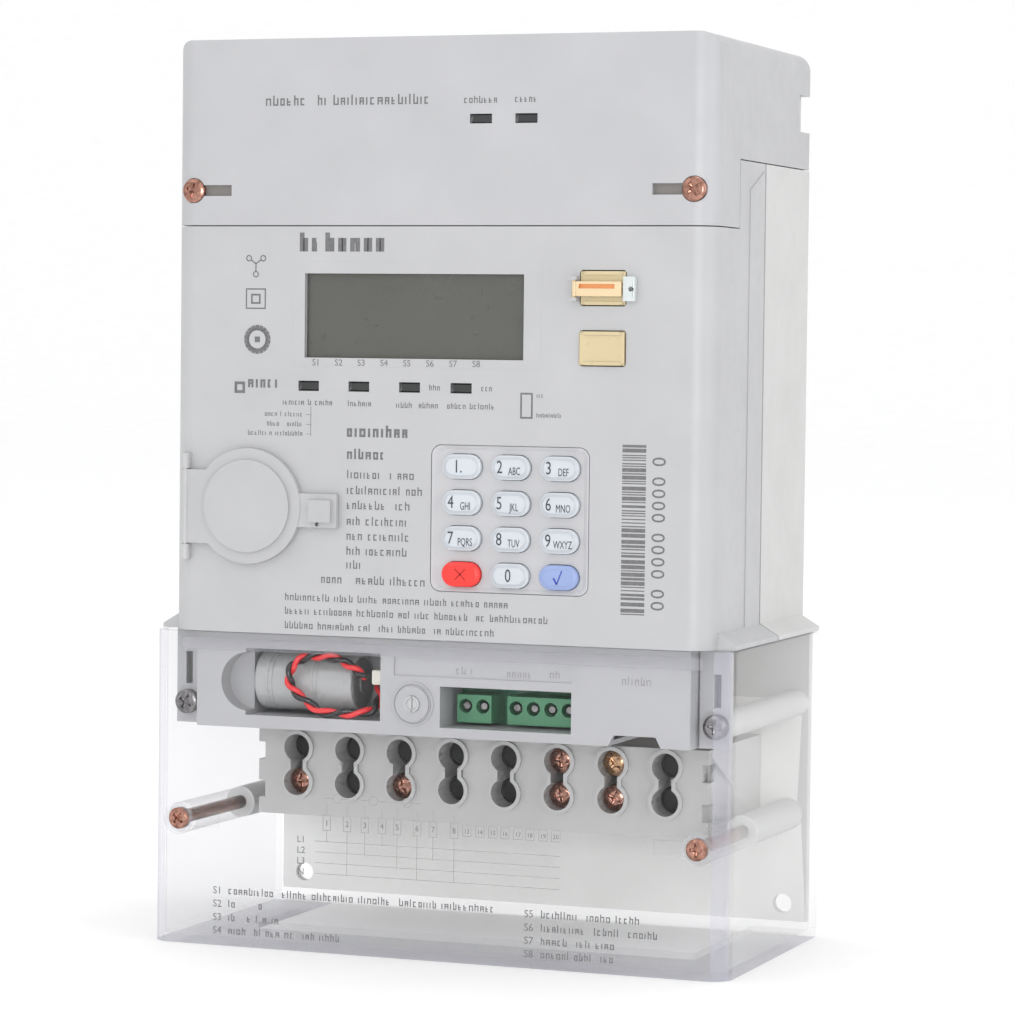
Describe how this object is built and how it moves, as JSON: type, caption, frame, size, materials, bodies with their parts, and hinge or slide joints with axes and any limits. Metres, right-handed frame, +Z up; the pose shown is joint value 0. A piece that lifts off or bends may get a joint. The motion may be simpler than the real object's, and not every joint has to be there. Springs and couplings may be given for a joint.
{
  "type": "prepaid electricity meter",
  "caption": "Wall-mounted keypad prepayment meter with display, optical port, modem bay, and screw terminals under a clear cover.",
  "frame": {"origin": "middle of the flat wall face, on the centre line, half way up", "axes": "+Y into the wall, +X to the right as seen from the front, +Z up"},
  "size_m": [0.17, 0.091, 0.252],
  "materials": {
    "shell": "fine-textured light grey moulding",
    "housing": "fine-textured light grey moulding",
    "gasket": "soft grey seal",
    "steel": "zinc plated",
    "clear_cover": "clear polycarbonate",
    "lens": "clear hard-coated lens",
    "display": "unlit grey-green liquid crystal",
    "board": "green solder mask",
    "black_part": "satin black",
    "power_part": "dark component bodies",
    "transformer": "dark blue potting shell",
    "relay": "blue case",
    "copper": "bare copper",
    "brass": "machined brass",
    "shield": "tinned can",
    "antenna": "ceramic coloured",
    "window": "smoked light pipe",
    "keypad": "matt light grey",
    "key": "satin bluish white",
    "key_red": "satin red",
    "key_blue": "satin pale blue",
    "button": "cream yellow",
    "lever": "cream yellow",
    "seal": "translucent",
    "cell": "shrink sleeve",
    "plug": "natural nylon",
    "lead_red": "insulation",
    "lead_black": "insulation",
    "terminal_green": "glass-filled green",
    "terminal_grey": "flame-retardant grey",
    "screw_copper": "copper-toned plating"
  },
  "bodies": {
    "root": {"rear_housing": "housing", "housing_gasket": "gasket", "front_cover": "shell", "front_cover_screws": "steel", "hanger_plate": "steel", "display_lens": "lens", "display_module": "display", "main_board": "board", "board_screws": "steel", "key_switches": "black_part", "sounder": "black_part", "power_board": "board", "power_parts": "power_part", "current_transformers": "transformer", "relays": "relay", "copper_straps": "copper", "modem_board": "board", "modem_module": "shield", "modem_antenna": "antenna", "status_windows": "window", "keypad_mat": "keypad", "seal_tab": "seal", "optical_ring": "steel", "optical_elements": "black_part", "door_pin": "steel", "battery": "cell", "battery_plug": "plug", "battery_lead_red": "lead_red", "battery_lead_black": "lead_black", "aux_board": "board", "aux_terminal_2way": "terminal_green", "aux_terminal_4way": "terminal_green", "aux_screws": "steel", "tamper_switch": "black_part", "terminal_block": "terminal_grey", "terminal_clamps": "brass", "terminal_screws": "screw_copper"},
    "modem_cover": {"modem_cover": "shell", "modem_cover_screws": "steel", "modem_windows": "window"},
    "terminal_cover": {"terminal_cover": "clear_cover", "terminal_cover_screws": "steel"},
    "optical_door": {"optical_door": "shell"},
    "scroll_button": {"scroll_button": "button"},
    "reset_button": {"reset_button": "button"},
    "reset_lever": {"reset_lever": "lever"},
    "tamper_plunger": {"tamper_plunger": "seal"},
    "key_1": {"key_1": "key"},
    "key_2": {"key_2": "key"},
    "key_3": {"key_3": "key"},
    "key_4": {"key_4": "key"},
    "key_5": {"key_5": "key"},
    "key_6": {"key_6": "key"},
    "key_7": {"key_7": "key"},
    "key_8": {"key_8": "key"},
    "key_9": {"key_9": "key"},
    "key_cancel": {"key_cancel": "key_red"},
    "key_0": {"key_0": "key"},
    "key_enter": {"key_enter": "key_blue"}
  },
  "joints": [
    {"name": "modem_cover_removal", "type": "slide", "parent": "root", "child": "modem_cover", "axis": [0, -1, 0], "range_m": [0, 0.1]},
    {"name": "terminal_cover_removal", "type": "slide", "parent": "root", "child": "terminal_cover", "axis": [0, -1, 0], "range_m": [0, 0.1]},
    {"name": "optical_door_hinge", "type": "hinge", "parent": "root", "child": "optical_door", "pos_m": [-0.0742, -0.0894, -0.003], "axis": [0, 0, -1], "range_deg": [0, 150]},
    {"name": "reset_lever_hinge", "type": "hinge", "parent": "root", "child": "reset_lever", "pos_m": [0.0402, -0.0897, 0.0578], "axis": [0, 0, -1], "range_deg": [0, 120]},
    {"name": "key_1_press", "type": "slide", "parent": "root", "child": "key_1", "axis": [0, 1, 0], "range_m": [0, 0.001], "stiffness_N_per_m": 400},
    {"name": "key_2_press", "type": "slide", "parent": "root", "child": "key_2", "axis": [0, 1, 0], "range_m": [0, 0.001], "stiffness_N_per_m": 400},
    {"name": "key_3_press", "type": "slide", "parent": "root", "child": "key_3", "axis": [0, 1, 0], "range_m": [0, 0.001], "stiffness_N_per_m": 400},
    {"name": "key_4_press", "type": "slide", "parent": "root", "child": "key_4", "axis": [0, 1, 0], "range_m": [0, 0.001], "stiffness_N_per_m": 400},
    {"name": "key_5_press", "type": "slide", "parent": "root", "child": "key_5", "axis": [0, 1, 0], "range_m": [0, 0.001], "stiffness_N_per_m": 400},
    {"name": "key_6_press", "type": "slide", "parent": "root", "child": "key_6", "axis": [0, 1, 0], "range_m": [0, 0.001], "stiffness_N_per_m": 400},
    {"name": "key_7_press", "type": "slide", "parent": "root", "child": "key_7", "axis": [0, 1, 0], "range_m": [0, 0.001], "stiffness_N_per_m": 400},
    {"name": "key_8_press", "type": "slide", "parent": "root", "child": "key_8", "axis": [0, 1, 0], "range_m": [0, 0.001], "stiffness_N_per_m": 400},
    {"name": "key_9_press", "type": "slide", "parent": "root", "child": "key_9", "axis": [0, 1, 0], "range_m": [0, 0.001], "stiffness_N_per_m": 400},
    {"name": "key_cancel_press", "type": "slide", "parent": "root", "child": "key_cancel", "axis": [0, 1, 0], "range_m": [0, 0.001], "stiffness_N_per_m": 400},
    {"name": "key_0_press", "type": "slide", "parent": "root", "child": "key_0", "axis": [0, 1, 0], "range_m": [0, 0.001], "stiffness_N_per_m": 400},
    {"name": "key_enter_press", "type": "slide", "parent": "root", "child": "key_enter", "axis": [0, 1, 0], "range_m": [0, 0.001], "stiffness_N_per_m": 400},
    {"name": "scroll_button_press", "type": "slide", "parent": "root", "child": "scroll_button", "axis": [0, 1, 0], "range_m": [0, 0.001], "stiffness_N_per_m": 500},
    {"name": "reset_button_press", "type": "slide", "parent": "root", "child": "reset_button", "axis": [0, 1, 0], "range_m": [0, 0.001], "stiffness_N_per_m": 500},
    {"name": "tamper_plunger_press", "type": "slide", "parent": "root", "child": "tamper_plunger", "axis": [0, 1, 0], "range_m": [0, 0.001], "stiffness_N_per_m": 300}
  ]
}
